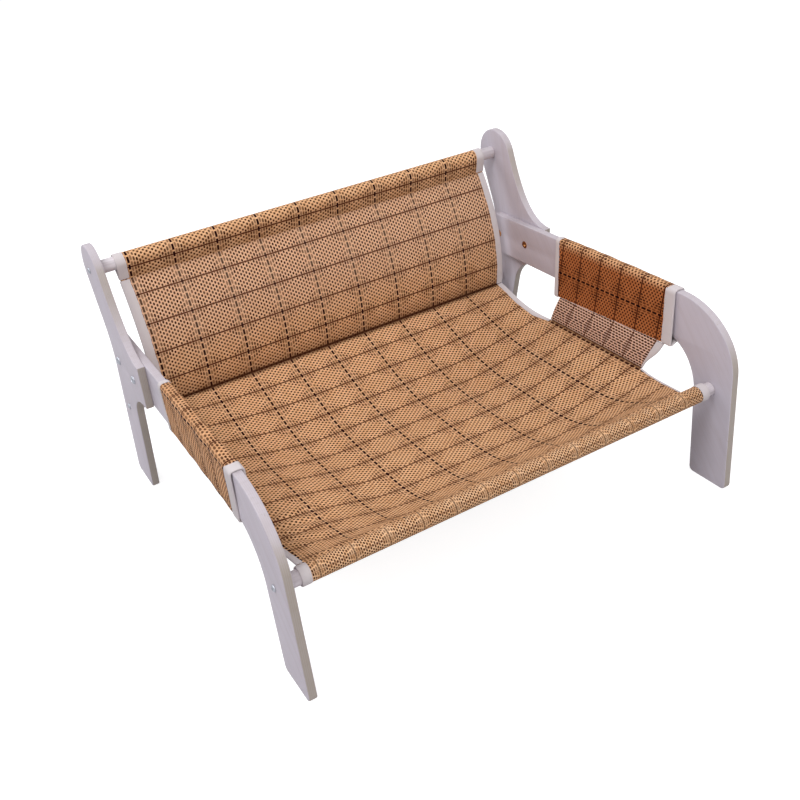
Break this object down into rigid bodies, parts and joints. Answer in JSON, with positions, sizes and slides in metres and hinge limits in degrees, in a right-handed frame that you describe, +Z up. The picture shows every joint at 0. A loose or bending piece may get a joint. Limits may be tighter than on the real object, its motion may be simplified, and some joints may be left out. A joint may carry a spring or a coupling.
{
  "type": "pet sling bed",
  "caption": "Low sling bed for a cat: a woven cover with back, sagging seat and arm sleeves, hung on a bolted frame of cut boards and dowels.",
  "frame": {"origin": "on the floor, under the middle of the bounding box", "axes": "+X across the bed to its right seen from the front, +Y to the back, +Z up"},
  "size_m": [0.5454, 0.483, 0.3199],
  "materials": {
    "board_wood": "sanded pale plywood",
    "dowel_wood": "sanded pale dowel",
    "steel": "zinc plated",
    "brass": "dull, dark yellow",
    "woven_cloth": "brown rattan-look weave with dark grid lines",
    "binding_tape": "cream woven tape"
  },
  "bodies": {
    "root": {"rear_leg_left": "board_wood", "rear_leg_right": "board_wood", "arm_leg_left": "board_wood", "arm_leg_right": "board_wood", "top_rod": "dowel_wood", "rear_rod": "dowel_wood", "front_rod": "dowel_wood", "top_rod_screws": "steel", "rear_rod_screws": "steel", "front_rod_screws": "steel", "arm_bolts_left": "steel", "arm_bolts_right": "steel", "arm_inserts_left": "brass", "arm_inserts_right": "brass", "back_panel": "woven_cloth", "seat_panel": "woven_cloth", "top_sleeve": "woven_cloth", "rear_sleeve": "woven_cloth", "front_sleeve": "woven_cloth", "wing_left": "woven_cloth", "wing_right": "woven_cloth", "back_binding_left": "binding_tape", "back_binding_right": "binding_tape", "rear_corner_binding_left": "binding_tape", "rear_corner_binding_right": "binding_tape", "front_corner_binding_left": "binding_tape", "front_corner_binding_right": "binding_tape", "sleeve_front_band_left": "binding_tape", "sleeve_front_band_right": "binding_tape", "sleeve_rear_band_left": "binding_tape", "sleeve_rear_band_right": "binding_tape", "top_sleeve_bands": "binding_tape", "front_sleeve_bands": "binding_tape"}
  },
  "joints": []
}
